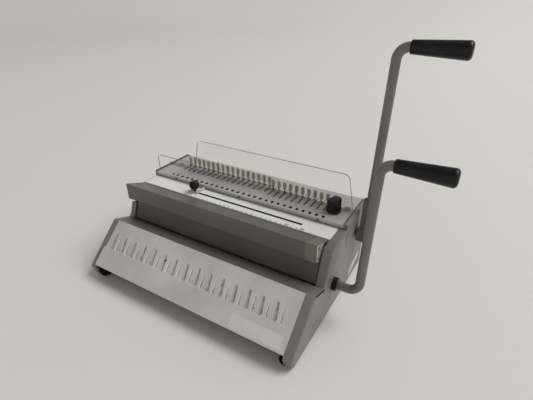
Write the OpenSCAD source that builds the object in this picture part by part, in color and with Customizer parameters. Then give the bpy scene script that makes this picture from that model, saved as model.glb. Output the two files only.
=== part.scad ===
// Hand-lever machine that punches sheets and closes wire combs
// Side view runs along Y (front is negative), the desk is at z = 0

/* [Punching] */
// Number of punches in the row
punch_count = 28; // [20:1:28]
// Distance from punch to punch
punch_pitch = 12.7; // [12:0.1:13]
// Side of a square punch
punch_side = 4; // [3:0.1:5]
// Length of a punch
punch_length = 35; // [30:1:38]
// Punches in work, counted from the left
working_count = 17; // [1:1:27]
// Sideways shift of the punch row from the middle of the body
row_shift = -0.5; // [-4:0.5:4]
// Height of the sheet throat
throat_gap = 2.8; // [2:0.1:4]
// Thickness of the die plate above the throat
die_plate_t = 4.3; // [3:0.1:6]
// Thickness of the bed plate below the throat
bed_plate_t = 9.7; // [8:0.1:12]

/* [Body] */
// Room between the end punch and the side cheek
end_room = 32.05; // [30:0.05:40]
// Thickness of a side cheek
cheek_t = 15.5; // [13:0.5:20]
// Height of the paper table
table_z = 139.7; // [130:0.1:150]
// Distance from punch row to the back of the body
body_depth = 98; // [84:1:112]
// Underside of the cheeks above the desk, which is the height of the feet
cheek_lift = 4.5; // [4:0.5:8]
// Diameter of the rubber feet
foot_d = 23; // [18:1:30]
// Thickness of bent sheet covers
sheet_t = 1.2; // [0.8:0.1:2]
// Height of the side rims above the punch cover
rim_h = 2; // [0.5:0.5:4]
// Width of the side rims
rim_w = 8.5; // [6:0.5:10]
// Rounding of the cheeks' outer edges
cheek_edge = 3.5; // [2:0.5:5]
// Depth of the paper table, front to back
table_d = 37; // [34:0.5:38]
// Thickness of the paper table
table_t = 3.1; // [2:0.1:4]
// Overhang of the table past the left cheek's inner face
table_overhang = 7; // [4:0.5:12]

/* [Front panel] */
// Slope of the ribbed front panel
panel_slope = 42; // [38:0.5:46]
// Length of the panel down its slope
panel_l = 94; // [88:1:98]
// Length of the ribbed zone
rib_zone_l = 54; // [44:1:60]
// Distance from the panel's upper edge to the top of the ribs
rib_start = 25; // [15:1:35]
// Height of the ribs at the step
rib_h = 3.8; // [1:0.1:5]
// Distance from rib to rib
rib_pitch = 25.5; // [24:0.5:28]
// Width of a rib at the step
rib_w = 7; // [4:0.5:12]
// Number of ribs
rib_count = 15; // [10:1:15]
// Wall of the front panel
panel_t = 3.5; // [2:0.1:4]

/* [Closing unit] */
// Tilt of the closing unit
closing_tilt = 20; // [18:0.5:22]
// Rear edge of the closing shelf, front to back
shelf_y = -94.4; // [-98:0.1:-92]
// Rear edge of the closing shelf, height
shelf_z = 79.6; // [77:0.1:82]
// Depth of the closing shelf
shelf_d = 38; // [34:0.5:42]
// Thickness of the shelf
shelf_t = 3; // [2:0.1:4]
// Opening between shelf and beam
closing_gap = 40; // [36:0.5:42]
// Height of the beam
beam_h = 31.5; // [26:0.5:34]
// Overhang of the beam in front of its back plate, top
beam_over_top = 24; // [18:0.5:28]
// Overhang of the beam in front of its back plate, bottom
beam_over_bottom = 12.5; // [6:0.5:16]
// Depth of the beam's top behind its back plate's face
beam_top_back = 22.5; // [14:0.5:22.5]
// Wall of the beam
beam_wall = 2.5; // [2:0.1:4]
// Thickness of the back plate
back_plate_t = 3.5; // [2.5:0.1:4]
// Width of the pale end block
end_block_w = 20; // [12:1:30]
// Travel of the closing beam
closing_travel = 30; // [20:1:30]

/* [Drives] */
// Module of the closing pinions
closing_module = 2; // [1.5:0.25:2]
// Teeth on a closing pinion
closing_teeth = 20; // [18:1:20]
// Width of a closing pinion
closing_gear_w = 12; // [8:1:16]
// Closing shaft diameter
closing_shaft_d = 15; // [12:0.5:16]
// Closing shaft height
closing_shaft_z = 62.2; // [60:0.1:64]
// Module of the punch pinions
punch_module = 1.25; // [1.25:0.05:1.4]
// Teeth on a punch pinion
punch_teeth = 16; // [16:1:18]
// Width of a punch pinion
punch_gear_w = 10; // [6:1:14]
// Punch shaft diameter
punch_shaft_d = 14; // [10:0.5:15]
// Punch shaft, distance behind the punch row
punch_shaft_y = 46; // [44:0.5:50]
// Punch shaft height
punch_shaft_z = 107; // [105:0.5:109]
// Distance of each pinion from its side cheek
gear_inset = 52; // [40:1:70]
// Stroke of the punch ram
ram_stroke = 9.6; // [8:0.1:9.6]

/* [Levers] */
// Diameter of the lever tubes
lever_d = 15; // [12:0.5:18]
// Backward lean of both levers at rest
lever_lean = 5.5; // [0:0.5:10]
// Bend radius of the lever tubes
bend_r = 18; // [16:1:26]
// Closing lever, axis to grip
closing_lever_l = 220; // [180:1:260]
// Gap between the right cheek and the closing lever's tube
closing_lever_gap = 36; // [30:1:44]
// Punch lever, axis to grip
punch_lever_l = 313; // [280:1:360]
// Gap between the right cheek and the punch lever's tube
punch_lever_gap = 9.5; // [8:0.5:12]
// Length of a grip
grip_l = 81; // [70:1:110]
// Diameter of a grip at its inner end
grip_d0 = 20; // [18:0.5:24]
// Diameter of a grip near its free end
grip_d1 = 26.5; // [22:0.5:32]

/* [Pull slides] */
// Travel of a pull slide
slide_travel = 8; // [6:0.5:9]
// Length of a slide's steel strip
strip_l = 33; // [28:0.5:36]
// Sideways distance of a strip from its punch
slide_shift = 4.6; // [3:0.1:5]
// Width of a slide's steel strip
strip_w = 2.4; // [2:0.1:3]
// Height of a slide's steel strip
strip_h = 1.6; // [1:0.1:2.5]
// Width of a paddle
paddle_w = 7; // [5:0.1:8]
// Height of a paddle above the cover
paddle_h = 20; // [16:0.5:28]
// Thickness of a paddle
paddle_t = 2.4; // [1.5:0.1:3.5]

/* [Stops and guard] */
// Diameter of the margin knob's skirt
margin_knob_d = 26; // [20:0.5:27]
// Height of the margin knob
margin_knob_h = 23; // [14:0.5:28]
// Width of the margin knob's grip bar
margin_bar_w = 15; // [10:0.5:18]
// Diameter of the side stop's thumb knob
stop_knob_d = 20; // [14:0.5:24]
// Thickness of the clear guard
guard_t = 3; // [2:0.1:4]
// Height of the clear guard above the cover
guard_h = 68; // [40:1:80]
// Width of the clear guard's wing past the left cheek
guard_wing_w = 36.5; // [20:0.5:45]

/* [Clearances] */
// Radial play of a turning shaft
run_play = 0.05; // [0.02:0.01:0.1]
// Play of flat sliding faces
slide_play = 0.15; // [0.1:0.05:0.3]
// Backlash of gear teeth
backlash = 0.2; // [0.1:0.05:0.3]

/* [Hidden] */
$fn = 64;
eps = 0.01;
// Reach of a cutter past the face it opens, and of one solid into the next
over = 1;
pressure_angle = 20;
root_room = 0.25;
fixed_play = 0.02;
row_l = (punch_count - 1) * punch_pitch;
inner_w = row_l + 2 * end_room;
inner_x = inner_w / 2;
outer_x = inner_x + cheek_t;
base_t = 1.5;
row_x0 = row_shift - row_l / 2;
punch_hole = punch_side + 2 * slide_play;

// Forms of the cheeks
corner_r = 3;
leg_r = 6;
nose_r = 6;
leg_reach = 36;
seam_w = 1;
seam_d = 1;
seam_l = 38;

// Heights of the stack round the throat
die_z = table_z + throat_gap;
cover_z = die_z + die_plate_t;
cover_top = cover_z + sheet_t;
bed_z = table_z - bed_plate_t;
table_under = table_z - table_t;
lip_y = -8.6;
lip_back = lip_y + sheet_t;
table_gap = 0.4;
table_back = lip_y - table_gap;
table_front = table_back - table_d;
column_back = lip_back + 20;
plate_back = 22;
lip_play = 0.1;
stop_end = 10;
stop_y = 5.5;
stop_w = 4;

// Ram, punches and their racks
ram_drop = 32;
ram_z = bed_z - ram_drop;
ram_h = 14;
ram_d = 16;
ram_end = 1;
ram_room = ram_stroke + 2;
tongue = 5.5;
tongue_d = 12;
punch_rest = 0.5;
punch_tip = table_z - punch_rest;
punch_foot = punch_tip - punch_length;
driver_h = 3;
driver_side = 6;
punch_rack_y = punch_shaft_y + punch_module * punch_teeth / 2;
rack_back = 8;
rack_arm_h = 10;
gear_x = inner_x - gear_inset;

// Closing unit in its tilted frame: s runs back along the shelf, n stands on it
slit = 1.5;
plate_s0 = slit;
plate_s1 = plate_s0 + back_plate_t;
carrier_s0 = plate_s0 + 0.4 * back_plate_t;
plate_gap = 4.5;
plate_foot = 6;
beam_n1 = closing_gap + beam_h;
beam_flange_t = 4;
beam_left = -inner_x - 9;
beam_body_left = -inner_x + 2;
beam_right = inner_x - 3.5;
beam_body_right = beam_right - end_block_w;
plate_drop = 8;
plate_top = closing_gap + over;
jaw_room = 1;
jaw_groove_n = closing_gap + 6;
shelf_gap = 1;
closing_shaft_y = -54.6;
shaft_s = (closing_shaft_y - shelf_y) * cos(closing_tilt) - (closing_shaft_z - shelf_z) * sin(closing_tilt);
shaft_n = (closing_shaft_y - shelf_y) * sin(closing_tilt) + (closing_shaft_z - shelf_z) * cos(closing_tilt);
closing_rack_s = shaft_s - closing_module * closing_teeth / 2;
closing_rack_n0 = shaft_n - 16;
closing_rack_n1 = shaft_n + closing_travel + 14;

// Panel top edge, where shelf and panel meet
edge_y = shelf_y - shelf_d * cos(closing_tilt);
edge_z = shelf_z + shelf_d * sin(closing_tilt);
nose_y = edge_y - panel_l * cos(panel_slope) - 3;
nose_z = edge_z - panel_l * sin(panel_slope) - 5;

// Bushes, grips and the lever hub
bush_d = 20;
bush_depth = 10;
shaft_x0 = -inner_x - bush_depth + 1;
shaft_joint_x = inner_x - 2;
bush_flange = 2;
collar_d = 23;
collar_l = 8;
punch_lever_x = outer_x + punch_lever_gap + lever_d / 2;
closing_lever_x = outer_x + closing_lever_gap + lever_d / 2;
hub_gap = 3;
hub_w = 20;
hub_low = 12;
hub_step = 11.5;
hub_top = 69;
hub_bar_w = 16;
hub_bar_in = 3;
spigot_d = 11;
spigot_l = 20;
grip_bore_l = grip_l - 14;

// Feet, and the base plate well behind the front panel
foot_in = 2.5;
foot_front_y = nose_y + 19;
foot_rear_y = body_depth - 16;
foot_edge = 2;
base_front_y = nose_y + 46;

// Pull slides
slide_rear_y = 58;
strip_behind = 3;
strip_front_y = slide_rear_y + strip_behind - strip_l;
slot_w = 1.7;
slot_end = 0.5;
slide_neck_l = 12;
slide_neck_in = 2;
slide_neck_y = slide_rear_y + strip_behind - slide_neck_l - slide_neck_in;
slide_neck_w = slot_w - 2 * slide_play;
slide_foot_w = 5;
slide_foot_t = 1.6;
slide_foot_play = 0.1;
strip_lift = 0.05;
paddle_neck_w = 3.6;
paddle_shift = -4;
paddle_tab_l = 5;

// Margin knob and stop
margin_teeth = 10;
margin_module = 0.6;
margin_addendum = 0.35;
knob_x = row_x0 + row_l + 9;
knob_y = 25.5;
spindle_d = 4;
spindle_depth = 6;
spindle_room = 1;
bed_back = knob_y + 8;
knob_lift = 2.5;
knob_skirt_h = 5;
knob_turn = 22;
knob_step = 1;
stop_rack_x = knob_x + margin_teeth * margin_module / 2;
stop_arm_w = 6;

// Side stop
slot_y = -28.5;
stop_slot_w = 5.2;
stop_start = 113.5;
stop_x = -inner_x + stop_start;
stop_slot_in = 56;
stop_slot_x1 = inner_x - stop_slot_in;
stop_base_l = 22;
stop_base_d = 10;
stop_base_h = 2.5;
stop_rail_w = 4;
stop_rail_rise = 2;
stop_rail_gap = 1;
stop_stem_d = 5;
stop_knob_h = 16;
stop_hub_d = 12;
stop_nut = 10;
stop_nut_t = 3;
stop_nut_play = 1.5;
stop_key_x = 3;
stop_key_l = 7;
stop_neck_h = 5;
stop_stem_lift = 0.2;
stop_knob_z = table_z + stop_base_h + stop_neck_h;

// Clear guard
guard_y = 41;
guard_start = 57.5;
guard_past = 5;
guard_x0 = -inner_x + guard_start;
guard_x1 = inner_x + guard_past;
guard_lean = 10;
guard_r = 12;
guard_foot = max(strip_lift + strip_h, rim_h) + 0.2;
guard_low = 10.3;
guard_drop = 28;
wing_gap = 1;
wing_r = 8;
clip_w = 10;
clip_h = 6;
clip_wall = 2;
clip_left_in = 18;
clip_right_in = 9;
clip_x = [-inner_x + clip_left_in, guard_x1 - clip_right_in];

// Origin at the middle of the overall box, on the desk
wing_x = -outer_x - guard_wing_w;
grip_end_x = closing_lever_x + bend_r + grip_l;
origin_x = (wing_x + grip_end_x) / 2;
rear_y = max(body_depth, punch_shaft_y + punch_lever_l * sin(lever_lean) + grip_d1 / 2);
origin_y = (nose_y + rear_y) / 2;

SLIDERS = [for (i = [1:punch_count]) str("pull_slide_", i)];

// Side-view outline (y, z) made solid between two values of x
module slab(x0, x1) {
    translate([x0, 0, 0])
        rotate([90, 0, 90])
            linear_extrude(x1 - x0)
                children();
}

// Tilted frame of the closing unit, at the rear edge of the shelf
module closing_frame() {
    translate([0, shelf_y, shelf_z])
        rotate([-closing_tilt, 0, 0])
            children();
}

// Frame of the front panel: y runs up the slope, z stands out of it
module panel_frame() {
    translate([0, edge_y, edge_z])
        rotate([panel_slope, 0, 0])
            children();
}

// Round bar along x
module bar_x(x0, x1, d) {
    translate([x0, 0, 0])
        rotate([0, 90, 0])
            cylinder(d = d, h = x1 - x0);
}

module at_closing_shaft() {
    translate([0, closing_shaft_y, closing_shaft_z])
        children();
}

module at_punch_shaft() {
    translate([0, punch_shaft_y, punch_shaft_z])
        children();
}

// Point of the closing unit's tilted frame in the side view
function tilted(s, n) = [
    shelf_y + s * cos(closing_tilt) + n * sin(closing_tilt),
    shelf_z - s * sin(closing_tilt) + n * cos(closing_tilt)
];

function punch_x(i) = row_x0 + i * punch_pitch;

// Involute gear teeth
function roll(r, base) = let (a = acos(min(1, base / r))) tan(a) * 180 / PI - a;
function polar(r, a) = [r * cos(a), r * sin(a)];

module gear_2d(teeth, size, addendum) {
    pitch_r = teeth * size / 2;
    base_r = pitch_r * cos(pressure_angle);
    tip_r = pitch_r + addendum;
    root_r = pitch_r - addendum - root_room * size;
    low_r = max(base_r, root_r);
    half = 90 / teeth - backlash / 4 / pitch_r * 180 / PI;
    steps = 5;
    radii = [for (k = [0:steps]) low_r + (tip_r - low_r) * k / steps];
    function side(r) = half + roll(pitch_r, base_r) - roll(r, base_r);
    polygon([
        for (t = [0:teeth - 1])
            let (mid = t * 360 / teeth)
                each concat(
                    [polar(root_r, mid - side(low_r))],
                    [for (r = radii) polar(r, mid - side(r))],
                    [for (k = [steps:-1:0]) polar(radii[k], mid + side(radii[k]))],
                    [polar(root_r, mid + side(low_r))]
                )
    ]);
}

// Rack teeth pointing to +x, pitch line at x = 0, one tooth centred at y = 0
module rack_teeth_2d(first, last, size, addendum) {
    depth = addendum + root_room * size;
    root = 0.5;
    half = PI * size / 4 - backlash / 4;
    lean = tan(pressure_angle);
    for (k = [first:last])
        translate([0, k * PI * size])
            polygon([
                [-depth - root, -half - depth * lean],
                [-depth, -half - depth * lean],
                [addendum, -half + addendum * lean],
                [addendum, half - addendum * lean],
                [-depth, half + depth * lean],
                [-depth - root, half + depth * lean]
            ]);
}

module punch_squares(first, last, side) {
    for (i = [first:last])
        translate([punch_x(i) - side / 2, -side / 2])
            square(side);
}

// Side-view outline with its corners rounded, made solid from x0 out to x1, where its edges are rounded too
module rounded_block(x0, x1, points, r = corner_r) {
    skin = 0.1;
    module outline(inset) {
        offset(delta = -inset)
            offset(r = r, $fn = 32)
                offset(delta = -r)
                    polygon(points);
    }
    hull() {
        slab(x0, x1 - cheek_edge)
            outline(0);
        slab(x1 - (1 - sqrt(0.5)) * cheek_edge - skin, x1 - (1 - sqrt(0.5)) * cheek_edge)
            outline((1 - sqrt(0.5)) * cheek_edge);
        slab(x1 - skin, x1)
            outline(cheek_edge);
    }
}

// Front leg below the shelf, housing below the punch cover, and the rim beside it
module cheek_blocks() {
    leg_end = tilted(leg_reach, 0);
    rim_top = cover_top + rim_h;
    rounded_block(inner_x, outer_x, [
        [nose_y + nose_r, cheek_lift], [nose_y, nose_z], [edge_y, edge_z], leg_end, [leg_end[0], cheek_lift]
    ], leg_r);
    rounded_block(outer_x - rim_w, outer_x, [
        [lip_back, cheek_lift], [lip_back, rim_top], [body_depth, rim_top], [body_depth, cheek_lift]
    ]);
    slab(inner_x, outer_x - rim_w + over)
        polygon([
            [lip_back, cheek_lift + corner_r], [lip_back, cover_z], [body_depth - corner_r, cover_z],
            [body_depth - corner_r, cheek_lift + corner_r]
        ]);
}

module cheek_grooves() {
    groove = tongue + slide_play;
    carrier_room = plate_s1 - carrier_s0 + 2 * slide_play;
    for (side = [-1, 1]) {
        closing_frame()
            translate([side * (inner_x + groove / 2), (carrier_s0 + plate_s1) / 2, 0])
                cube([groove + eps, carrier_room, 2 * jaw_groove_n], center = true);
        translate([side * (inner_x + groove / 2), 0, ram_z + (ram_h + ram_room) / 2])
            cube([groove + eps, tongue_d + 2 * slide_play, ram_h + ram_room + 2 * over], center = true);
    }
}

module bush_bores(x0, x1) {
    at_closing_shaft()
        bar_x(x0, x1, bush_d);
    at_punch_shaft()
        bar_x(x0, x1, bush_d);
}

module left_cheek() {
    post_s = plate_s0 + slide_play;
    post_foot = -4;
    flange_s = plate_s0 + beam_top_back + jaw_room;
    closed_n = beam_n1 - closing_travel - beam_flange_t - jaw_room;
    post_n = closed_n - 4;
    slope_n = closed_n - 5;
    head_n = beam_n1 - 14;
    step = tilted(flange_s, closed_n);
    color("dimgray")
        difference() {
            mirror([1, 0, 0]) {
                cheek_blocks();
                rounded_block(inner_x, outer_x, [
                    [shelf_y, cheek_lift], [shelf_y, shelf_z], tilted(flange_s / 2, slope_n), step,
                    [column_back, step[1]], [column_back, cheek_lift]
                ]);
                slab(inner_x, outer_x - cheek_edge)
                    polygon([
                        tilted(post_s, post_foot), tilted(post_s, post_n),
                        tilted(flange_s / 2, slope_n - over), tilted(flange_s / 2, post_foot)
                    ]);
                rounded_block(inner_x, outer_x, [
                    tilted(flange_s, closed_n - 2 * corner_r), tilted(flange_s, head_n),
                    [table_front, table_under], [column_back, table_under],
                    [column_back, step[1] - 2 * corner_r]
                ]);
            }
            cheek_grooves();
            bush_bores(-inner_x - bush_depth, -inner_x + over);
        }
}

module right_cheek() {
    color("dimgray")
        difference() {
            union() {
                cheek_blocks();
                rounded_block(inner_x, outer_x, [
                    [shelf_y, cheek_lift], [shelf_y, shelf_z],
                    tilted(0, (table_z - shelf_z) / cos(closing_tilt)),
                    [column_back, table_z], [column_back, cheek_lift]
                ]);
            }
            cheek_grooves();
            bush_bores(inner_x - over, outer_x + over);
            translate([outer_x - seam_d, lip_y - seam_w / 2, table_z - seam_l])
                cube([seam_d + over, seam_w, seam_l + over]);
        }
}

module base_plate() {
    color("gray")
        translate([-inner_x, base_front_y, cheek_lift])
            cube([inner_w, body_depth - 2 * sheet_t - base_front_y, base_t]);
}

module rear_cover() {
    color("gray")
        translate([-inner_x, body_depth - 3 * sheet_t, cheek_lift + base_t])
            cube([inner_w, sheet_t, cover_z - cheek_lift - base_t]);
}

// Pocket between two ribs: narrow at the top, with a round left corner at the step
module pocket_2d(x0, x1) {
    corner = 4;
    left_lean = 2;
    right_lean = 9;
    foot_reach = 2;
    foot = -rib_zone_l - foot_reach;
    polygon([
        [x0 - left_lean, over],
        [x0 - left_lean, -rib_start],
        [x0, foot + corner],
        [x0 + corner, foot],
        [x1, foot],
        [x1 - right_lean, -rib_start],
        [x1 - right_lean, over]
    ]);
    translate([x0 + corner, foot + corner])
        circle(r = corner);
}

module front_panel() {
    half = inner_x - slide_play;
    end_reach = 16;
    crest_h = 0.25;
    function rib_x(k) = (k - (rib_count - 1) / 2) * rib_pitch;
    color("gainsboro")
        panel_frame()
            difference() {
                slab(-half, half)
                    polygon([
                        [0, -panel_t], [0, 0], [-rib_start, crest_h], [-rib_zone_l, rib_h],
                        [-panel_l, rib_h], [-panel_l, -panel_t]
                    ]);
                for (k = [-1:rib_count - 1])
                    linear_extrude(rib_h + over)
                        pocket_2d(
                            k < 0 ? -half - end_reach : rib_x(k) + rib_w / 2,
                            k == rib_count - 1 ? half + end_reach : rib_x(k + 1) - rib_w / 2
                        );
            }
}

module closing_shelf() {
    half = inner_x - slide_play;
    seat = [edge_y + panel_t * sin(panel_slope), edge_z - panel_t * cos(panel_slope)];
    seat_step = [1, -0.6];
    color("dimgray")
        slab(-half, half)
            polygon([
                [edge_y, edge_z],
                tilted(-shelf_gap, 0),
                tilted(-shelf_gap, -shelf_t),
                seat + seat_step,
                seat
            ]);
}

module feet() {
    color("black")
        for (x = [-inner_x + foot_in, inner_x - foot_in], y = [foot_front_y, foot_rear_y])
            translate([x, y, 0]) {
                cylinder(d1 = foot_d - 2 * foot_edge, d2 = foot_d, h = foot_edge);
                translate([0, 0, foot_edge])
                    cylinder(d = foot_d, h = cheek_lift - foot_edge);
            }
}

module paper_table() {
    color("whitesmoke")
        translate([0, 0, table_under])
            linear_extrude(table_t)
                difference() {
                    translate([-inner_x - table_overhang, table_front])
                        square([inner_w + table_overhang - slide_play, table_d]);
                    translate([stop_x - stop_slot_w / 2, slot_y - stop_slot_w / 2])
                        square([stop_slot_x1 - stop_x, stop_slot_w]);
                }
}

module bed_plate() {
    nut_room = stop_nut / 2 + stop_nut_play;
    color("slategray")
        difference() {
            slab(-inner_x, inner_x)
                polygon([
                    [table_front, bed_z],
                    [table_front, table_under],
                    [table_back, table_under],
                    [table_back, table_z],
                    [bed_back, table_z],
                    [bed_back, bed_z]
                ]);
            translate([0, 0, bed_z - over])
                linear_extrude(bed_plate_t + 2 * over)
                    punch_squares(0, punch_count - 1, punch_hole);
            translate([stop_x - stop_nut, slot_y - nut_room, bed_z - over])
                cube([stop_slot_x1 - stop_x + 2 * stop_nut, 2 * nut_room, bed_plate_t + 2 * over]);
            translate([knob_x, knob_y, table_z - spindle_depth])
                cylinder(d = spindle_d + 2 * run_play, h = spindle_depth + over);
        }
}

module die_plate() {
    color("slategray")
        translate([0, 0, die_z])
            linear_extrude(die_plate_t)
                difference() {
                    translate([-inner_x, lip_back])
                        square([inner_w, plate_back - lip_back]);
                    punch_squares(0, punch_count - 1, punch_hole);
                }
}

module punch_cover() {
    half = outer_x - rim_w - slide_play;
    slot_front = slide_neck_y - slide_travel - slot_end;
    slot_l = slide_neck_l + slide_travel + 2 * slot_end;
    color("antiquewhite")
        difference() {
            union() {
                translate([-half, lip_y, cover_z])
                    cube([2 * half, body_depth - lip_y - slide_play, sheet_t]);
                translate([-half, lip_y, die_z + lip_play])
                    cube([2 * half, sheet_t, die_plate_t]);
            }
            translate([0, 0, cover_z - over])
                linear_extrude(sheet_t + 2 * over) {
                    punch_squares(0, punch_count - 1, punch_hole + 2 * lip_play);
                    for (i = [0:punch_count - 1])
                        translate([punch_x(i) + slide_shift - slot_w / 2, slot_front])
                            square([slot_w, slot_l]);
                    translate([knob_x, knob_y])
                        circle(d = spindle_d + spindle_room);
                }
        }
}

module working_punches() {
    color("darkslategray")
        for (i = [0:working_count - 1])
            translate([punch_x(i), 0, 0]) {
                translate([-punch_side / 2, -punch_side / 2, punch_foot])
                    cube([punch_side, punch_side, punch_length]);
                translate([-driver_side / 2, -driver_side / 2, ram_z + ram_h])
                    cube([driver_side, driver_side, driver_h]);
            }
}

module idle_punches() {
    color("darkslategray")
        translate([0, 0, punch_foot])
            linear_extrude(punch_length)
                punch_squares(working_count, punch_count - 1, punch_side);
}

module punch_ram() {
    color("lightslategray")
        difference() {
            union() {
                translate([-inner_x + ram_end, -ram_d / 2, ram_z])
                    cube([inner_w - 2 * ram_end, ram_d, ram_h]);
                translate([-inner_x - tongue, -tongue_d / 2, ram_z])
                    cube([inner_w + 2 * tongue, tongue_d, ram_h]);
            }
            translate([0, 0, ram_z - over])
                linear_extrude(ram_h + 2 * over)
                    punch_squares(0, punch_count - 1, punch_hole);
        }
}

// Hook-shaped plates under the ram, toothed behind the shaft and notched for punches out of work
module punch_racks() {
    gear_tip = punch_module * (punch_teeth / 2 + 1);
    arm_top = punch_shaft_z - gear_tip - ram_stroke - over;
    root_y = punch_rack_y + (1 + root_room) * punch_module;
    teeth_below = 4;
    teeth_above = 2;
    color("lightslategray")
        difference() {
            for (x = [-gear_x, gear_x])
                slab(x - punch_gear_w / 2, x + punch_gear_w / 2) {
                    polygon([
                        [-ram_d / 2, ram_z],
                        [ram_d / 2, ram_z],
                        [ram_d / 2, arm_top],
                        [root_y, arm_top],
                        [root_y, punch_shaft_z + gear_tip],
                        [root_y + rack_back, punch_shaft_z + gear_tip],
                        [root_y + rack_back, arm_top - rack_arm_h],
                        [-ram_d / 2, arm_top - rack_arm_h]
                    ]);
                    translate([punch_rack_y, punch_shaft_z])
                        mirror([1, 0])
                            rack_teeth_2d(-teeth_below, teeth_above, punch_module, punch_module);
                }
            translate([0, 0, punch_foot - ram_stroke - over])
                linear_extrude(ram_h)
                    punch_squares(0, punch_count - 1, punch_hole);
        }
}

module punch_shaft() {
    color("silver")
        at_punch_shaft() {
            bar_x(shaft_x0, punch_lever_x - lever_d / 2 - slide_play, punch_shaft_d);
            for (x = [-gear_x, gear_x])
                slab(x - punch_gear_w / 2, x + punch_gear_w / 2)
                    rotate(180 / punch_teeth)
                        gear_2d(punch_teeth, punch_module, punch_module);
        }
}

module punch_hub() {
    x0 = outer_x + hub_gap;
    x1 = punch_lever_x - over;
    color("gray")
        at_punch_shaft()
            rotate([-lever_lean, 0, 0])
                difference() {
                    union() {
                        slab(x0, x1)
                            translate([-hub_w / 2, -hub_low])
                                square([hub_w, hub_low + hub_step]);
                        slab(x0 + hub_bar_in, x1) {
                            translate([-hub_bar_w / 2, hub_step - over])
                                square([hub_bar_w, hub_top - hub_step - hub_bar_w / 2 + over]);
                            translate([0, hub_top - hub_bar_w / 2])
                                circle(d = hub_bar_w);
                        }
                    }
                    bar_x(x0 - over, x1 + over, punch_shaft_d + 2 * fixed_play);
                    translate([punch_lever_x, 0, -hub_low - over])
                        cylinder(d = lever_d + 2 * fixed_play, h = hub_top + hub_low + 2 * over);
                }
}

// Quarter bend of a tube in the XZ plane, round the point (x, z)
module quarter_bend(x, z, start) {
    translate([x, 0, z])
        rotate([90, 0, 0])
            rotate([0, 0, start])
                rotate_extrude(angle = 90)
                    translate([bend_r, 0])
                        circle(d = lever_d);
}

// Upright tube with a bend at its top that carries the grip
module lever_upright(x, z0, reach) {
    translate([x, 0, z0])
        cylinder(d = lever_d, h = reach - bend_r - z0);
    quarter_bend(x + bend_r, reach - bend_r, 90);
    translate([0, 0, reach])
        bar_x(x + bend_r, x + bend_r + grip_bore_l - over, lever_d);
}

module grip(x, reach) {
    corner = 6;
    color("black")
        translate([x + bend_r, 0, reach])
            rotate([0, 90, 0])
                rotate_extrude() {
                    difference() {
                        union() {
                            polygon([
                                [0, 0], [grip_d0 / 2, 0], [grip_d1 / 2, grip_l - corner],
                                [0, grip_l - corner]
                            ]);
                            translate([0, grip_l - corner])
                                square([grip_d1 / 2 - corner, corner]);
                            translate([grip_d1 / 2 - corner, grip_l - corner])
                                intersection() {
                                    circle(r = corner);
                                    square(corner);
                                }
                        }
                        square([lever_d / 2 + fixed_play, grip_bore_l]);
                    }
                }
}

module punch_lever() {
    color("gray")
        at_punch_shaft()
            rotate([-lever_lean, 0, 0])
                lever_upright(punch_lever_x, -hub_low, punch_lever_l);
}

module punch_grip() {
    at_punch_shaft()
        rotate([-lever_lean, 0, 0])
            grip(punch_lever_x, punch_lever_l);
}

module closing_lever() {
    x0 = shaft_joint_x;
    color("gray")
        at_closing_shaft()
            rotate([-lever_lean, 0, 0])
                difference() {
                    union() {
                        bar_x(x0, closing_lever_x - bend_r, lever_d);
                        quarter_bend(closing_lever_x - bend_r, bend_r, -90);
                        lever_upright(closing_lever_x, bend_r, closing_lever_l);
                    }
                    bar_x(x0 - over, x0 + spigot_l + over, spigot_d + 2 * fixed_play);
                }
}

module closing_grip() {
    at_closing_shaft()
        rotate([-lever_lean, 0, 0])
            grip(closing_lever_x, closing_lever_l);
}

module closing_shaft() {
    color("silver")
        at_closing_shaft() {
            bar_x(shaft_x0, shaft_joint_x, closing_shaft_d);
            bar_x(shaft_joint_x - over, shaft_joint_x + spigot_l, spigot_d);
            for (x = [-gear_x, gear_x])
                slab(x - closing_gear_w / 2, x + closing_gear_w / 2)
                    rotate(180 + 180 / closing_teeth - closing_tilt)
                        gear_2d(closing_teeth, closing_module, closing_module);
        }
}

module bush(x0, x1, bore, flange_x) {
    difference() {
        union() {
            bar_x(x0, x1, bush_d - 2 * fixed_play);
            bar_x(flange_x, flange_x + bush_flange, collar_d);
        }
        bar_x(x0 - over, x1 + over, bore + 2 * run_play);
    }
}

module shaft_bushes() {
    inside = -inner_x + bush_flange;
    color("black") {
        at_closing_shaft() {
            bush(-inner_x - bush_depth, inside, closing_shaft_d, -inner_x);
            difference() {
                union() {
                    bar_x(inner_x, outer_x, bush_d - 2 * fixed_play);
                    bar_x(outer_x, outer_x + collar_l, collar_d);
                }
                bar_x(inner_x - over, outer_x + collar_l + over, lever_d + 2 * run_play);
            }
        }
        at_punch_shaft() {
            bush(-inner_x - bush_depth, inside, punch_shaft_d, -inner_x);
            bush(inner_x - bush_flange, outer_x, punch_shaft_d, inner_x - bush_flange);
        }
    }
}

// Front edge profile of the beam in the tilted frame, closed back to a given depth
module beam_section(back) {
    polygon([
        [plate_s0 - beam_over_top, beam_n1],
        [plate_s0 + beam_top_back, beam_n1],
        [plate_s0 + beam_top_back, beam_n1 - beam_flange_t],
        [back, beam_n1 - beam_flange_t],
        [back, closing_gap],
        [plate_s0 - beam_over_bottom, closing_gap]
    ]);
}

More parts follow.
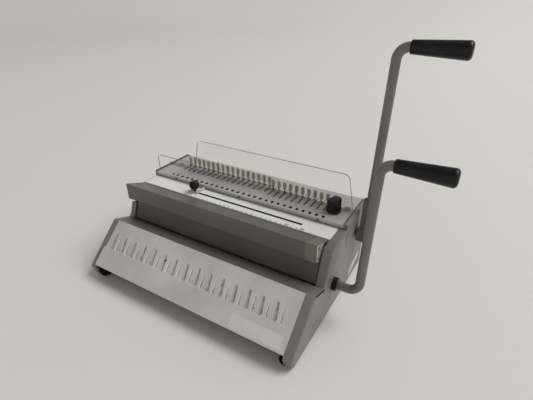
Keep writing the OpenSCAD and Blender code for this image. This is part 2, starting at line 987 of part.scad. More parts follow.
module closing_beam() {
    slant_wall = 1.6 * beam_wall;
    color("dimgray")
        closing_frame() {
            difference() {
                slab(beam_body_left, beam_body_right)
                    beam_section(plate_s1);
                slab(beam_body_left + beam_wall, beam_body_right + over)
                    polygon([
                        [plate_s0 - beam_over_top + slant_wall, beam_n1 - beam_flange_t],
                        [plate_s1 - beam_wall, beam_n1 - beam_flange_t],
                        [plate_s1 - beam_wall, closing_gap + beam_wall],
                        [plate_s0 - beam_over_bottom + beam_wall, closing_gap + beam_wall]
                    ]);
            }
            slab(beam_left, beam_body_left + eps)
                beam_section(plate_s0);
            translate([-inner_x - tongue, carrier_s0, -plate_drop])
                cube([inner_w + 2 * tongue, plate_s1 - carrier_s0, plate_top + plate_drop]);
            translate([-inner_x + plate_gap, plate_s0, plate_foot])
                cube([inner_w - 2 * plate_gap, carrier_s0 - plate_s0 + eps, plate_top - plate_foot]);
        }
}

module beam_end_block() {
    color("darkkhaki")
        closing_frame()
            slab(beam_body_right, beam_right)
                difference() {
                    beam_section(plate_s1);
                    translate([plate_s0, closing_gap - over])
                        square([back_plate_t + over, 2 * over + fixed_play]);
                }
}

module closing_racks() {
    teeth_below = 2;
    teeth_above = 6;
    color("lightslategray")
        closing_frame()
            for (x = [-gear_x, gear_x])
                slab(x - closing_gear_w / 2, x + closing_gear_w / 2) {
                    translate([plate_s1, closing_rack_n0])
                        square([
                            closing_rack_s - (1 + root_room) * closing_module - plate_s1,
                            closing_rack_n1 - closing_rack_n0
                        ]);
                    translate([closing_rack_s, shaft_n])
                        rack_teeth_2d(-teeth_below, teeth_above, closing_module, closing_module);
                }
}

// Selector knob moulded on its spindle: a round skirt, a grip bar across it and the small pinion at the foot
module margin_knob() {
    color("black")
        translate([knob_x, knob_y, 0]) {
            translate([0, 0, cover_top + knob_lift]) {
                cylinder(d = margin_knob_d, h = knob_skirt_h);
                rotate(-knob_turn)
                    linear_extrude(margin_knob_h)
                        intersection() {
                            circle(d = margin_knob_d - knob_step);
                            square([margin_bar_w, margin_knob_d], center = true);
                        }
            }
            translate([0, 0, table_z - spindle_depth + slide_play])
                cylinder(d = spindle_d, h = spindle_depth + cover_top + knob_lift - table_z);
            translate([0, 0, table_z + slide_play])
                linear_extrude(throat_gap - 2 * slide_play)
                    rotate(180 / margin_teeth)
                        gear_2d(margin_teeth, margin_module, margin_addendum);
        }
}

module margin_stop() {
    x0 = row_x0 - stop_end;
    arm_x = stop_rack_x + margin_addendum + root_room * margin_module;
    side_teeth = 3;
    color("silver")
        translate([0, 0, table_z + slide_play])
            linear_extrude(throat_gap - 2 * slide_play) {
                translate([x0, stop_y])
                    square([arm_x + stop_arm_w - x0, stop_w]);
                translate([arm_x, stop_y])
                    square([stop_arm_w, bed_back - stop_y]);
                translate([stop_rack_x, knob_y])
                    mirror([1, 0])
                        rack_teeth_2d(-side_teeth, side_teeth, margin_module, margin_addendum);
            }
}

module side_stop() {
    key_w = stop_slot_w - 2 * slide_play;
    top = table_z + slide_play;
    rail_l = lip_y - stop_rail_gap - slot_y + stop_base_d / 2;
    nut_z = table_under - slide_play - stop_nut_t;
    color("lightgray")
        difference() {
            union() {
                translate([stop_x - stop_base_l / 2, slot_y - stop_base_d / 2, top])
                    cube([stop_base_l, stop_base_d, stop_base_h]);
                translate([stop_x + stop_base_l / 2 - stop_rail_w, slot_y - stop_base_d / 2, top])
                    cube([stop_rail_w, rail_l, stop_base_h + stop_rail_rise]);
                translate([stop_x - key_w / 2 + stop_key_x, slot_y - key_w / 2, table_under - over])
                    cube([stop_key_l, key_w, table_t + 2 * over]);
                translate([stop_x - stop_nut / 2 + stop_key_x, slot_y - stop_nut / 2, nut_z])
                    cube([stop_nut, stop_nut, stop_nut_t]);
            }
            translate([stop_x, slot_y, top - over])
                cylinder(d = stop_stem_d + 2 * run_play, h = stop_base_h + 2 * over);
        }
}

module stop_knob() {
    color("black")
        translate([stop_x, slot_y, 0]) {
            translate([0, 0, table_z + slide_play + stop_stem_lift])
                cylinder(d = stop_stem_d, h = stop_knob_z - table_z);
            translate([0, 0, stop_knob_z])
                rotate_extrude() {
                    square([stop_hub_d / 2, stop_knob_h / 2]);
                    intersection() {
                        translate([0, stop_knob_h / 2])
                            circle(d = stop_knob_d);
                        square([stop_knob_d, stop_knob_h]);
                    }
                }
        }
}

// Clear upright plate with a low strip that reaches past the left cheek and hangs down there
module guard_2d() {
    z0 = cover_top + guard_foot;
    z1 = cover_top + guard_h;
    low_z = z0 + guard_low;
    polygon([
        [guard_x0, z0], [guard_x1, z0], [guard_x1 - guard_lean, z1 - guard_r],
        [guard_x1 - guard_lean - guard_r, z1], [guard_x0 + guard_lean + guard_r, z1],
        [guard_x0 + guard_lean, z1 - guard_r]
    ]);
    for (x = [guard_x0 + guard_lean + guard_r, guard_x1 - guard_lean - guard_r])
        translate([x, z1 - guard_r])
            circle(r = guard_r);
    translate([wing_x + wing_r, z0])
        square([guard_x0 + over - wing_x - wing_r, guard_low]);
    translate([wing_x + wing_r, low_z - wing_r])
        circle(r = wing_r);
    translate([wing_x, z0 - guard_drop])
        square([guard_wing_w - wing_gap, guard_drop + guard_low - wing_r]);
}

module clear_guard() {
    color("lightcyan", 0.35)
        translate([0, guard_y + guard_t, 0])
            rotate([90, 0, 0])
                linear_extrude(guard_t)
                    guard_2d();
}

module guard_clips() {
    color("lightgray")
        for (x = clip_x)
            translate([x - clip_w / 2, guard_y - clip_wall, cover_top])
                difference() {
                    cube([clip_w, guard_t + 2 * clip_wall, clip_h]);
                    translate([-over, clip_wall - fixed_play, guard_foot])
                        cube([clip_w + 2 * over, guard_t + 2 * fixed_play, clip_h]);
                }
}

// Strip on the cover, key through its slot, foot below, and a paddle on a tab beside the strip
module pull_slide(i) {
    shift = i < working_count ? 0 : -slide_travel;
    strip_z = cover_top + strip_lift;
    foot_z = cover_z - slide_foot_play - slide_foot_t;
    head_r = paddle_w / 2;
    head_top = paddle_h - head_r;
    head_low = head_top - 2.4 * head_r;
    color("rosybrown")
        translate([punch_x(i) + slide_shift, shift, 0]) {
            translate([-strip_w / 2, strip_front_y, strip_z])
                cube([strip_w, strip_l, strip_h]);
            translate([-slide_neck_w / 2, slide_neck_y, foot_z + slide_foot_t / 2])
                cube([slide_neck_w, slide_neck_l, strip_z - foot_z]);
            translate([-slide_foot_w / 2, slide_neck_y, foot_z])
                cube([slide_foot_w, slide_neck_l, slide_foot_t]);
            translate([paddle_shift - paddle_neck_w / 2, slide_rear_y - paddle_tab_l / 2, strip_z])
                cube([paddle_neck_w / 2 - paddle_shift, paddle_tab_l, strip_h]);
            translate([paddle_shift, slide_rear_y + paddle_t / 2, strip_z])
                rotate([90, 0, 0])
                    linear_extrude(paddle_t) {
                        translate([-paddle_neck_w / 2, 0])
                            square([paddle_neck_w, head_top]);
                        translate([-head_r, head_low])
                            square([paddle_w, head_top - head_low]);
                        for (z = [head_low, head_top])
                            translate([0, z])
                                circle(r = head_r);
                    }
        }
}

// Everything is drawn round the body's middle and moved to the part's origin
module placed() {
    translate([-origin_x, -origin_y, 0])
        children();
}

placed() left_cheek();
placed() right_cheek();
placed() base_plate();
placed() rear_cover();
placed() front_panel();
placed() closing_shelf();
placed() feet();
placed() paper_table();
placed() bed_plate();
placed() die_plate();
placed() punch_cover();
placed() working_punches();
placed() idle_punches();
placed() punch_ram();
placed() punch_racks();
placed() punch_shaft();
placed() punch_hub();
placed() punch_lever();
placed() punch_grip();
placed() margin_knob();
placed() margin_stop();
placed() side_stop();
placed() stop_knob();
placed() clear_guard();
placed() guard_clips();
placed() closing_beam();
placed() beam_end_block();
placed() closing_racks();
placed() closing_shaft();
placed() closing_lever();
placed() closing_grip();
placed() shaft_bushes();
for (i = [0:punch_count - 1])
    placed() pull_slide(i);
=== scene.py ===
import math

import bmesh
import bpy
from mathutils import Matrix, Vector


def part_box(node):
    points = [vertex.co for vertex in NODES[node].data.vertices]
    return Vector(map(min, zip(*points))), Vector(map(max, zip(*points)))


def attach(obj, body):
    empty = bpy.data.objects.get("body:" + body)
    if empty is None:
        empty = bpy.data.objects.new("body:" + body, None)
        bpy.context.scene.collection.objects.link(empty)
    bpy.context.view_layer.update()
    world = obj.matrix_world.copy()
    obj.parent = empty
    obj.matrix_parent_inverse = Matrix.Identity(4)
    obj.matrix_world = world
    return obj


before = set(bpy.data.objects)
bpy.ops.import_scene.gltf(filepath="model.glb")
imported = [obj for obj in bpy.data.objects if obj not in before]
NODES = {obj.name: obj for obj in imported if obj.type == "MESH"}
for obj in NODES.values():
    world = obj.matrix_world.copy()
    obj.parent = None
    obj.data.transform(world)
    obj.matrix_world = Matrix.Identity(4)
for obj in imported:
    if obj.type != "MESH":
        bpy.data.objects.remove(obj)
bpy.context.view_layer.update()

MM = 0.001
SLIDES = sorted(name for name in NODES if name.startswith("pull_slide_"))

# Frame of the photograph and the camera that took it
PHOTO_WIDTH = 533
FOCAL_PIXELS = 380.83
SENSOR_WIDTH = 36.0
CAMERA_PLACE = Vector((0.31954, -0.47722, 0.49342))
CAMERA_AZIMUTH = math.radians(30.726)
CAMERA_ELEVATION = math.radians(29.183)
CAMERA_ROLL = math.radians(-0.187)

# Row of punches in millimetres, one for each slide; its middle lies beside the machine's
ROW_COUNT = len(SLIDES)
ROW_PITCH = 12.7
ROW_SHIFT = -0.5
ROW_START = ROW_SHIFT - ROW_PITCH * (ROW_COUNT - 1) / 2

# Front of the cover's lip and middle of the table's slot, in millimetres from the punch row
LIP_Y = -8.6
STOP_Y = -28.5

# Level just above the slides' steel strips, in millimetres from the cover
STRIP_LEVEL = 1.7

# Tilt of the closing unit, depth of its shelf and slope of the front panel, as in the solids
CLOSING_TILT = math.radians(20)
SHELF_DEPTH = 38
PANEL_SLOPE = math.radians(42)

# Ribs of the front panel in millimetres: u runs down the slope, h stands on it
RIB_COUNT = 15
RIB_PITCH = 25.5
RIB_HALF = 3.5
RIB_LEAN = 9
RIB_START = 25
RIB_FOOT = 56
POCKET_LEAN = 2
POCKET_CORNER = 4
POCKET_BEND = RIB_FOOT - POCKET_CORNER
STEP_U = 54
CREST_H = 0.25
STEP_H = 3.8

# Finishes: detail of their noise, the stops of its ramp, and depth of the relief
GRAIN_DETAIL = 2.0
GRAIN_DEPTH = 0.2 * MM
MOTTLE_DETAIL = 4.0
MOTTLE_STOPS = (0.35, 0.65)
GLOSS_DETAIL = 5.0
GLOSS_STOPS = (0.3, 0.7)
GLOSS_SPREAD = 0.07
GLOSS_PER_BLOTCH = 3
LOW_SHEEN = 0.3

# Cleaning of the meshes: reach of the weld, flat angle and sharp angle
WELD_REACH = 2e-6
FLAT_ANGLE = math.radians(0.5)
SHARP_ANGLE = math.radians(32)

# Part of a normal along a direction: above FACING a face looks there, below UPRIGHT it stands upright
FACING = 0.9
UPRIGHT = 0.5

# Thickness of print on a level top, and of the worn spots, brown strips and painted shade on the front
# panel in millimetres
PRINT_RISE = Vector((0, 0, 0.06 * MM))
WEAR_AND_SHADE_T = 0.12

# Pan head with a socket in its crown, in shares of its radius and height
PAN_HEAD = (
    (0, 0), (1, 0), (1, 0.35), (0.82, 0.82), (0.5, 1), (0.36, 1), (0.24, 0.4), (0, 0.4),
)
HEAD_STEPS = 20
CORNER_STEPS = 5

# Node, finish, edge radius in millimetres and steps round the edge
FINISHES = (
    ("left_cheek", "grey_paint", 2.2, 3),
    ("right_cheek", "grey_paint", 2.2, 3),
    # The base plate is painted black as the shade under the machine.
    ("base_plate", "painted_shade_black", 0, 2),
    ("rear_cover", "grey_paint", 0.4, 2),
    ("front_panel", "white_paint", 0.8, 3),
    ("closing_shelf", "shelf_paint", 0.5, 2),
    ("feet", "rubber", 0.8, 2),
    ("paper_table", "table_paint", 0.5, 2),
    # The bed plate takes the pale table paint as painted light, which lifts the shade in the throat under
    # the cover's lip.
    ("bed_plate", "table_paint", 0.12, 2),
    ("die_plate", "dull_steel", 0.12, 2),
    ("punch_cover", "beige_paint", 0.12, 2),
    ("working_punches", "strip_steel", 0, 2),
    ("idle_punches", "strip_steel", 0, 2),
    ("punch_ram", "bright_steel", 0.4, 2),
    ("punch_racks", "bright_steel", 0.15, 2),
    ("punch_shaft", "bright_steel", 0, 2),
    # The hub takes the darker beam paint as painted shade for the shadow it lies in.
    ("punch_hub", "beam_paint", 1.0, 3),
    ("punch_lever", "lever_paint", 0, 2),
    ("punch_grip", "moulded_black", 0.8, 2),
    ("margin_knob", "moulded_black", 0.5, 2),
    ("margin_stop", "bright_steel", 0, 2),
    ("side_stop", "pale_plastic", 0.3, 2),
    ("stop_knob", "moulded_black", 0.8, 3),
    ("guard_clips", "beige_paint", 0.4, 2),
    ("closing_beam", "beam_paint", 1.0, 3),
    ("beam_end_block", "olive_paint", 0.8, 3),
    ("closing_racks", "bright_steel", 0.15, 2),
    ("closing_shaft", "bright_steel", 0, 2),
    ("closing_lever", "lever_paint", 0, 2),
    ("closing_grip", "moulded_black", 0.8, 2),
    ("shaft_bushes", "moulded_black", 0.5, 2),
    ("clear_guard", "acrylic", 0, 2),
    *((name, "paddle_plastic", 0.35, 2) for name in SLIDES),
)


def low(node):
    """Low corner of a node's box in the frame."""
    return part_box(node)[0]


def high(node):
    """High corner of a node's box in the frame."""
    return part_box(node)[1]


MIDDLE_X = (low("front_panel").x + high("front_panel").x) / 2
STRIP_TOP = high("punch_cover").z + STRIP_LEVEL * MM


def place(x, y, z):
    """Point from millimetres: x from the machine's middle, y back from the punch row, z from the desk."""
    return Vector((MIDDLE_X + x * MM, low("punch_cover").y + (y - LIP_Y) * MM, z * MM))


def on_closing(x, s, n):
    """Point at x of the frame on the closing unit: s runs back along its shelf, n stands on it."""
    y = s * math.cos(CLOSING_TILT) + n * math.sin(CLOSING_TILT) + SHELF_DEPTH * math.cos(CLOSING_TILT)
    z = -s * math.sin(CLOSING_TILT) + n * math.cos(CLOSING_TILT) - SHELF_DEPTH * math.sin(CLOSING_TILT)
    return Vector((x, low("closing_shelf").y + y * MM, high("closing_shelf").z + z * MM))


def on_panel(x, u, h):
    """Point on the front panel: x from its middle, u down its slope, h off it."""
    y = -u * math.cos(PANEL_SLOPE) - h * math.sin(PANEL_SLOPE)
    z = -u * math.sin(PANEL_SLOPE) + h * math.cos(PANEL_SLOPE)
    return Vector((MIDDLE_X + x * MM, low("closing_shelf").y + y * MM, high("closing_shelf").z + z * MM))


def off_panel(height):
    """Step straight off the slope of the front panel."""
    return on_panel(0, 0, height) - on_panel(0, 0, 0)


def rib_middle(k):
    """Middle of a rib at its foot."""
    return (k - (RIB_COUNT - 1) / 2) * RIB_PITCH


def rib_height(u):
    """Height of a rib's crest above the floor of the pockets."""
    if u < RIB_START:
        return CREST_H * u / RIB_START
    climb = min((u - RIB_START) / (STEP_U - RIB_START), 1)
    return CREST_H + climb * (STEP_H - CREST_H)


def rib_left(k, u):
    """Left edge of a rib, which leans as it climbs."""
    foot = rib_middle(k) - RIB_HALF
    return foot - RIB_LEAN * (RIB_FOOT - u) / (RIB_FOOT - RIB_START)


def pocket_wall(k, climb):
    """Left wall of the pocket right of a rib, so far up from the round corner."""
    return rib_middle(k) + RIB_HALF - POCKET_LEAN * climb / (POCKET_BEND - RIB_START)


def pocket_corner(k, reach, angle):
    """Point so far from the middle of a pocket's round corner."""
    middle = pocket_wall(k, 0) + POCKET_CORNER
    return middle - reach * math.cos(angle), POCKET_BEND + reach * math.sin(angle)


def shader_of(material):
    """The material's surface shader."""
    return material.node_tree.nodes["Principled BSDF"]


def principled(name, colour, roughness, metallic=0.0):
    """Even surface of one colour."""
    material = bpy.data.materials.new(name)
    material.use_nodes = True
    shader = shader_of(material)
    shader.inputs["Base Color"].default_value = (*colour, 1.0)
    shader.inputs["Roughness"].default_value = roughness
    shader.inputs["Metallic"].default_value = metallic
    return material


def object_noise(material, scale, detail, stretch=(1, 1, 1)):
    """Noise that moves with its object."""
    tree = material.node_tree
    coordinates = tree.nodes.new("ShaderNodeTexCoord")
    mapping = tree.nodes.new("ShaderNodeMapping")
    mapping.inputs["Scale"].default_value = stretch
    noise = tree.nodes.new("ShaderNodeTexNoise")
    noise.inputs["Scale"].default_value = scale
    noise.inputs["Detail"].default_value = detail
    tree.links.new(coordinates.outputs["Object"], mapping.inputs["Vector"])
    tree.links.new(mapping.outputs["Vector"], noise.inputs["Vector"])
    return noise


def grain(material, scale, strength, stretch=(1, 1, 1)):
    """Fine relief, such as that of textured paint or moulded plastic."""
    tree = material.node_tree
    bump = tree.nodes.new("ShaderNodeBump")
    bump.inputs["Strength"].default_value = strength
    bump.inputs["Distance"].default_value = GRAIN_DEPTH
    noise = object_noise(material, scale, GRAIN_DETAIL, stretch)
    tree.links.new(noise.outputs["Fac"], bump.inputs["Height"])
    tree.links.new(bump.outputs["Normal"], shader_of(material).inputs["Normal"])
    return material


def ramp_between(material, noise, stops, colours):
    """Change from one colour to another between two stops of the noise."""
    tree = material.node_tree
    ramp = tree.nodes.new("ShaderNodeValToRGB")
    for element, stop, colour in zip(ramp.color_ramp.elements, stops, colours):
        element.position = stop
        element.color = (*colour, 1.0)
    tree.links.new(noise.outputs["Fac"], ramp.inputs["Fac"])
    return ramp


def mottle(material, dark, light, scale):
    """Slow change between two colours over the surface."""
    noise = object_noise(material, scale, MOTTLE_DETAIL)
    ramp = ramp_between(material, noise, MOTTLE_STOPS, (dark, light))
    material.node_tree.links.new(ramp.outputs["Color"], shader_of(material).inputs["Base Color"])
    return material


def uneven_gloss(material, scale, smoothest, roughest):
    """Handled patches that shine more than the rest."""
    noise = object_noise(material, scale, GLOSS_DETAIL)
    ramp = ramp_between(material, noise, GLOSS_STOPS, ((smoothest,) * 3, (roughest,) * 3))
    material.node_tree.links.new(ramp.outputs["Color"], shader_of(material).inputs["Roughness"])
    return material


def textured(name, dark, light, roughness, blotch, grit, relief):
    """Sprayed paint or moulding: fine grit, slow colour change and uneven gloss."""
    material = grain(principled(name, light, roughness), grit, relief)
    mottle(material, dark, light, blotch)
    smoothest, roughest = roughness - GLOSS_SPREAD, roughness + GLOSS_SPREAD
    return uneven_gloss(material, GLOSS_PER_BLOTCH * blotch, smoothest, roughest)


def plain(name, colour, roughness, metallic, dark, light, blotch):
    """Surface without relief that changes slowly between two colours."""
    return mottle(principled(name, colour, roughness, metallic), dark, light, blotch)


def make_textured():
    """Paints and mouldings: dark and light colour, roughness, scale of blotches and grit, relief."""
    rows = (
        ("grey_paint", (0.205, 0.182, 0.165), (0.24, 0.214, 0.195), 0.45, 11, 900, 0.25),
        ("lever_paint", (0.184, 0.167, 0.154), (0.216, 0.198, 0.183), 0.4, 16, 900, 0.2),
        # painted shade: the beam's paint made darker for its shaded back plate
        ("plate_shade_paint", (0.098, 0.088, 0.08), (0.115, 0.104, 0.095), 0.45, 12, 900, 0.2),
        ("beam_paint", (0.125, 0.114, 0.105), (0.145, 0.132, 0.123), 0.42, 12, 900, 0.2),
        ("white_paint", (0.59, 0.562, 0.53), (0.69, 0.668, 0.638), 0.42, 14, 700, 0.12),
        # painted highlight: a white lighter than the panel for the lit rims of the pockets
        ("highlight_white", (0.74, 0.725, 0.70), (0.82, 0.805, 0.785), 0.38, 30, 700, 0.05),
        ("shelf_paint", (0.165, 0.15, 0.138), (0.19, 0.174, 0.162), 0.42, 12, 900, 0.2),
        ("beige_paint", (0.44, 0.42, 0.395), (0.50, 0.475, 0.45), 0.45, 14, 800, 0.15),
        ("table_paint", (0.84, 0.835, 0.825), (0.90, 0.895, 0.885), 0.4, 18, 700, 0.08),
        ("olive_paint", (0.15, 0.146, 0.112), (0.19, 0.185, 0.145), 0.45, 25, 800, 0.2),
        ("paddle_plastic", (0.42, 0.345, 0.28), (0.60, 0.525, 0.455), 0.55, 70, 1200, 0.15),
        ("moulded_black", (0.005, 0.005, 0.0055), (0.010, 0.010, 0.011), 0.33, 40, 1100, 0.3),
    )
    return [textured(*row) for row in rows]


def make_plain():
    """Plain surfaces: colour, roughness, metal, dark and light colour, scale of blotches."""
    rows = (
        # painted shade: flat black for the shade in holes, slots, grooves and under the machine
        ("painted_shade_black", (0.006, 0.006, 0.006), 0.9, 0.0, (0.004, 0.004, 0.004), (0.008, 0.008, 0.008), 50),
        # painted shade: near black for the shade in the slits round the beam's back plate
        ("painted_gap_shade", (0.028, 0.025, 0.023), 0.8, 0.0, (0.022, 0.02, 0.018), (0.034, 0.031, 0.028), 50),
        ("dull_steel", (0.24, 0.23, 0.22), 0.55, 0.3, (0.2, 0.19, 0.18), (0.28, 0.27, 0.26), 60),
        ("pale_plastic", (0.62, 0.60, 0.57), 0.4, 0.0, (0.55, 0.53, 0.5), (0.68, 0.66, 0.63), 80),
        ("acrylic_edge", (0.33, 0.34, 0.34), 0.15, 0.0, (0.28, 0.29, 0.29), (0.4, 0.41, 0.41), 25),
        ("label_white", (0.84, 0.835, 0.83), 0.5, 0.0, (0.72, 0.70, 0.68), (0.77, 0.75, 0.73), 60),
        ("torn_paper", (0.72, 0.71, 0.68), 0.7, 0.0, (0.52, 0.50, 0.47), (0.68, 0.67, 0.64), 45),
        ("ink", (0.04, 0.04, 0.042), 0.6, 0.0, (0.02, 0.02, 0.022), (0.10, 0.10, 0.10), 200),
        ("pink_ink", (0.50, 0.26, 0.28), 0.6, 0.0, (0.47, 0.33, 0.33), (0.50, 0.22, 0.25), 150),
        # dark brown strips along the left edges of the ribs
        ("brown_streak", (0.15, 0.105, 0.07), 0.7, 0.0, (0.19, 0.15, 0.11), (0.42, 0.36, 0.295), 110),
        ("spot_brown", (0.12, 0.09, 0.06), 0.7, 0.0, (0.07, 0.05, 0.035), (0.16, 0.125, 0.09), 150),
        # painted shade: grey for the shade in the pockets' left corners
        ("corner_shade_grey", (0.2, 0.19, 0.18), 0.7, 0.0, (0.09, 0.085, 0.08), (0.34, 0.325, 0.31), 130),
        ("screw_blue", (0.16, 0.18, 0.22), 0.35, 0.8, (0.12, 0.14, 0.17), (0.2, 0.22, 0.26), 300),
    )
    return [plain(*row) for row in rows]


def make_rubber():
    """Dull black rubber."""
    rubber = principled("rubber", (0.014, 0.014, 0.014), roughness=0.75)
    mottle(rubber, (0.01, 0.01, 0.01), (0.02, 0.02, 0.02), scale=60)
    return grain(rubber, scale=600, strength=0.3)


def make_bright_steel():
    """Ground steel with fine lines along the machine."""
    steel = principled("bright_steel", (0.46, 0.47, 0.49), roughness=0.32, metallic=1.0)
    grain(steel, scale=300, strength=0.08, stretch=(1, 12, 12))
    mottle(steel, (0.40, 0.41, 0.43), (0.50, 0.51, 0.53), scale=40)
    return uneven_gloss(steel, scale=60, smoothest=0.26, roughest=0.4)


def make_strip_steel():
    """Dark steel of the slides and the punches."""
    steel = principled("strip_steel", (0.1, 0.1, 0.105), roughness=0.4, metallic=0.3)
    mottle(steel, (0.085, 0.084, 0.085), (0.18, 0.178, 0.178), scale=90)
    return uneven_gloss(steel, scale=120, smoothest=0.32, roughest=0.46)


def make_aluminium():
    """Brushed plate with level lines."""
    aluminium = principled("aluminium", (0.80, 0.82, 0.85), roughness=0.34, metallic=0.75)
    mottle(aluminium, (0.74, 0.76, 0.79), (0.86, 0.88, 0.91), scale=120)
    return grain(aluminium, scale=500, strength=0.1, stretch=(1, 1, 9))


def make_acrylic():
    """Clear sheet that bends the light little."""
    acrylic = principled("acrylic", (0.97, 0.985, 0.98), roughness=0.02)
    shader_of(acrylic).inputs["IOR"].default_value = 1.25
    shader_of(acrylic).inputs["Transmission Weight"].default_value = 1.0
    return uneven_gloss(acrylic, scale=20, smoothest=0.01, roughest=0.05)


def make_materials():
    """Every finish of the machine by its name; the black ones shine less."""
    made = make_textured() + make_plain()
    made += [make_rubber(), make_bright_steel(), make_strip_steel(), make_aluminium(), make_acrylic()]
    by_name = {material.name: material for material in made}
    for black in ("moulded_black", "rubber", "painted_shade_black", "painted_gap_shade"):
        shader_of(by_name[black]).inputs["Specular IOR Level"].default_value = LOW_SHEEN
    return by_name


MATERIALS = make_materials()


def round_edges(piece, width, segments=2):
    """Clean the mesh of its triangles and give its sharp edges a small radius."""
    weld = piece.modifiers.new("weld", "WELD")
    weld.merge_threshold = WELD_REACH
    flat = piece.modifiers.new("flat", "DECIMATE")
    flat.decimate_type = "DISSOLVE"
    flat.angle_limit = FLAT_ANGLE
    if width:
        bevel = piece.modifiers.new("bevel", "BEVEL")
        bevel.width = width
        bevel.segments = segments
        bevel.limit_method = "ANGLE"
        bevel.angle_limit = SHARP_ANGLE
    normals = piece.modifiers.new("normals", "WEIGHTED_NORMAL")
    normals.keep_sharp = True


def smooth(mesh):
    """Smooth shading with its sharp edges kept."""
    if "custom_normal" in mesh.attributes:
        mesh.attributes.remove(mesh.attributes["custom_normal"])
    mesh.polygons.foreach_set("use_smooth", [True] * len(mesh.polygons))
    mesh.set_sharp_from_angle(angle=SHARP_ANGLE)


def dress(node, material, edge, segments):
    """One finish and round edges on a solid of the frame."""
    piece = NODES[node]
    piece.data.materials.clear()
    piece.data.materials.append(MATERIALS[material])
    piece.data.polygons.foreach_set("material_index", [0] * len(piece.data.polygons))
    smooth(piece.data)
    round_edges(piece, edge * MM, segments)


def paint_faces(node, material, wanted):
    """A second finish on the faces that the test picks by their middle and normal."""
    mesh = NODES[node].data
    mesh.materials.append(MATERIALS[material])
    index = len(mesh.materials) - 1
    for polygon in mesh.polygons:
        if wanted(polygon.center, polygon.normal):
            polygon.material_index = index


def plate_depth(middle, normal):
    """How far a face that looks forward lies behind the front of the beam's back plate."""
    plate_front = 1.5
    ahead = (on_closing(0, -1, 0) - on_closing(0, 0, 0)).normalized()
    if normal.dot(ahead) < FACING:
        return None
    return (middle - on_closing(middle.x, plate_front, 0)).dot(-ahead)


def in_slit_shade(middle, normal):
    """Front of the beam's carrier plate, which shows only in the slits round the back plate; painted near
    black as the shade in those slits.
    """
    nearest, farthest = 0.5 * MM, 3 * MM
    depth = plate_depth(middle, normal)
    return depth is not None and nearest < depth < farthest


def on_back_plate(middle, normal):
    """Front of the beam's back plate, which takes a darker copy of the beam paint as painted shade."""
    play = 0.4 * MM
    depth = plate_depth(middle, normal)
    return depth is not None and abs(depth) < play


def in_punch_row(middle, normal):
    """Walls of the square holes in the row of punches, painted black as the shade inside the holes."""
    reach = 4 * MM
    return abs(normal.z) < UPRIGHT and abs(middle.y - place(0, 0, 0).y) < reach


def in_table_slot(middle, normal):
    """Walls of the slot that the side stop slides in, painted black as the shade in the slot."""
    margin, reach = 5 * MM, 3.5 * MM
    inside = low("paper_table").x + margin < middle.x < high("paper_table").x - margin
    return inside and abs(normal.z) < UPRIGHT and abs(middle.y - place(0, STOP_Y, 0).y) < reach


def in_seam(middle, normal):
    """Bottom of the narrow groove in the outer side of the right cheek, painted black as the shade in the
    groove.
    """
    nearest, farthest = 0.7 * MM, 1.3 * MM
    return normal.x > FACING and nearest < high("right_cheek").x - middle.x < farthest


def on_guard_edge(middle, normal):
    """Sawn edge of the clear sheet."""
    return abs(normal.y) < UPRIGHT


def on_strip(middle, normal):
    """Steel strip of a slide, below its moulded paddle."""
    return middle.z < STRIP_TOP


def dress_solids():
    """Finishes of the solids, with the faces that have one of their own."""
    for finish in FINISHES:
        dress(*finish)
    paint_faces("right_cheek", "painted_shade_black", in_seam)
    paint_faces("paper_table", "painted_shade_black", in_table_slot)
    for node in ("bed_plate", "die_plate", "punch_cover"):
        paint_faces(node, "painted_shade_black", in_punch_row)
    paint_faces("closing_beam", "painted_gap_shade", in_slit_shade)
    paint_faces("closing_beam", "plate_shade_paint", on_back_plate)
    paint_faces("clear_guard", "acrylic_edge", on_guard_edge)
    for name in SLIDES:
        paint_faces(name, "strip_steel", on_strip)


def new_piece(name, shape, body, material):
    """A piece of the scene from its bmesh, on the body that carries it."""
    bmesh.ops.recalc_face_normals(shape, faces=shape.faces)
    mesh = bpy.data.meshes.new(name)
    shape.to_mesh(mesh)
    shape.free()
    mesh.materials.append(MATERIALS[material])
    smooth(mesh)
    piece = bpy.data.objects.new(name, mesh)
    bpy.context.scene.collection.objects.link(piece)
    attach(piece, body)
    return piece


def prism(shape, outline, rise):
    """Closed solid between an outline and the same outline moved by rise."""
    base = [shape.verts.new(point) for point in outline]
    top = [shape.verts.new(point + rise) for point in outline]
    shape.faces.new(base[::-1])
    shape.faces.new(top)
    for i in range(len(outline)):
        j = (i + 1) % len(outline)
        shape.faces.new((base[i], base[j], top[j], top[i]))


def print_bar(shape, x0, y0, x1, y1, level):
    """Thin printed rectangle on a level top."""
    corners = ((x0, y0), (x1, y0), (x1, y1), (x0, y1))
    prism(shape, [Vector((x, y, level)) for x, y in corners], PRINT_RISE)


def lathe(shape, profile, centre, axis, steps):
    """Closed turned solid; the profile's first and last radius are zero."""
    side = axis.orthogonal().normalized()
    other = axis.cross(side)
    turn = [i * math.tau / steps for i in range(steps)]
    rings = []
    for radius, height in profile:
        middle = centre + axis * (height * MM)
        if radius == 0:
            rings.append([shape.verts.new(middle)])
            continue
        spokes = [(side * math.cos(angle) + other * math.sin(angle)) * (radius * MM) for angle in turn]
        rings.append([shape.verts.new(middle + spoke) for spoke in spokes])
    for lower, upper in zip(rings, rings[1:]):
        for i in range(steps):
            j = (i + 1) % steps
            if len(lower) == 1:
                shape.faces.new((lower[0], upper[i], upper[j]))
            elif len(upper) == 1:
                shape.faces.new((lower[i], lower[j], upper[0]))
            else:
                shape.faces.new((lower[i], lower[j], upper[j], upper[i]))


def screw_head(shape, centre, axis, diameter, height):
    """Pan head of a screw that looks along the axis."""
    profile = [(across * diameter / 2, up * height) for across, up in PAN_HEAD]
    lathe(shape, profile, centre, axis, HEAD_STEPS)


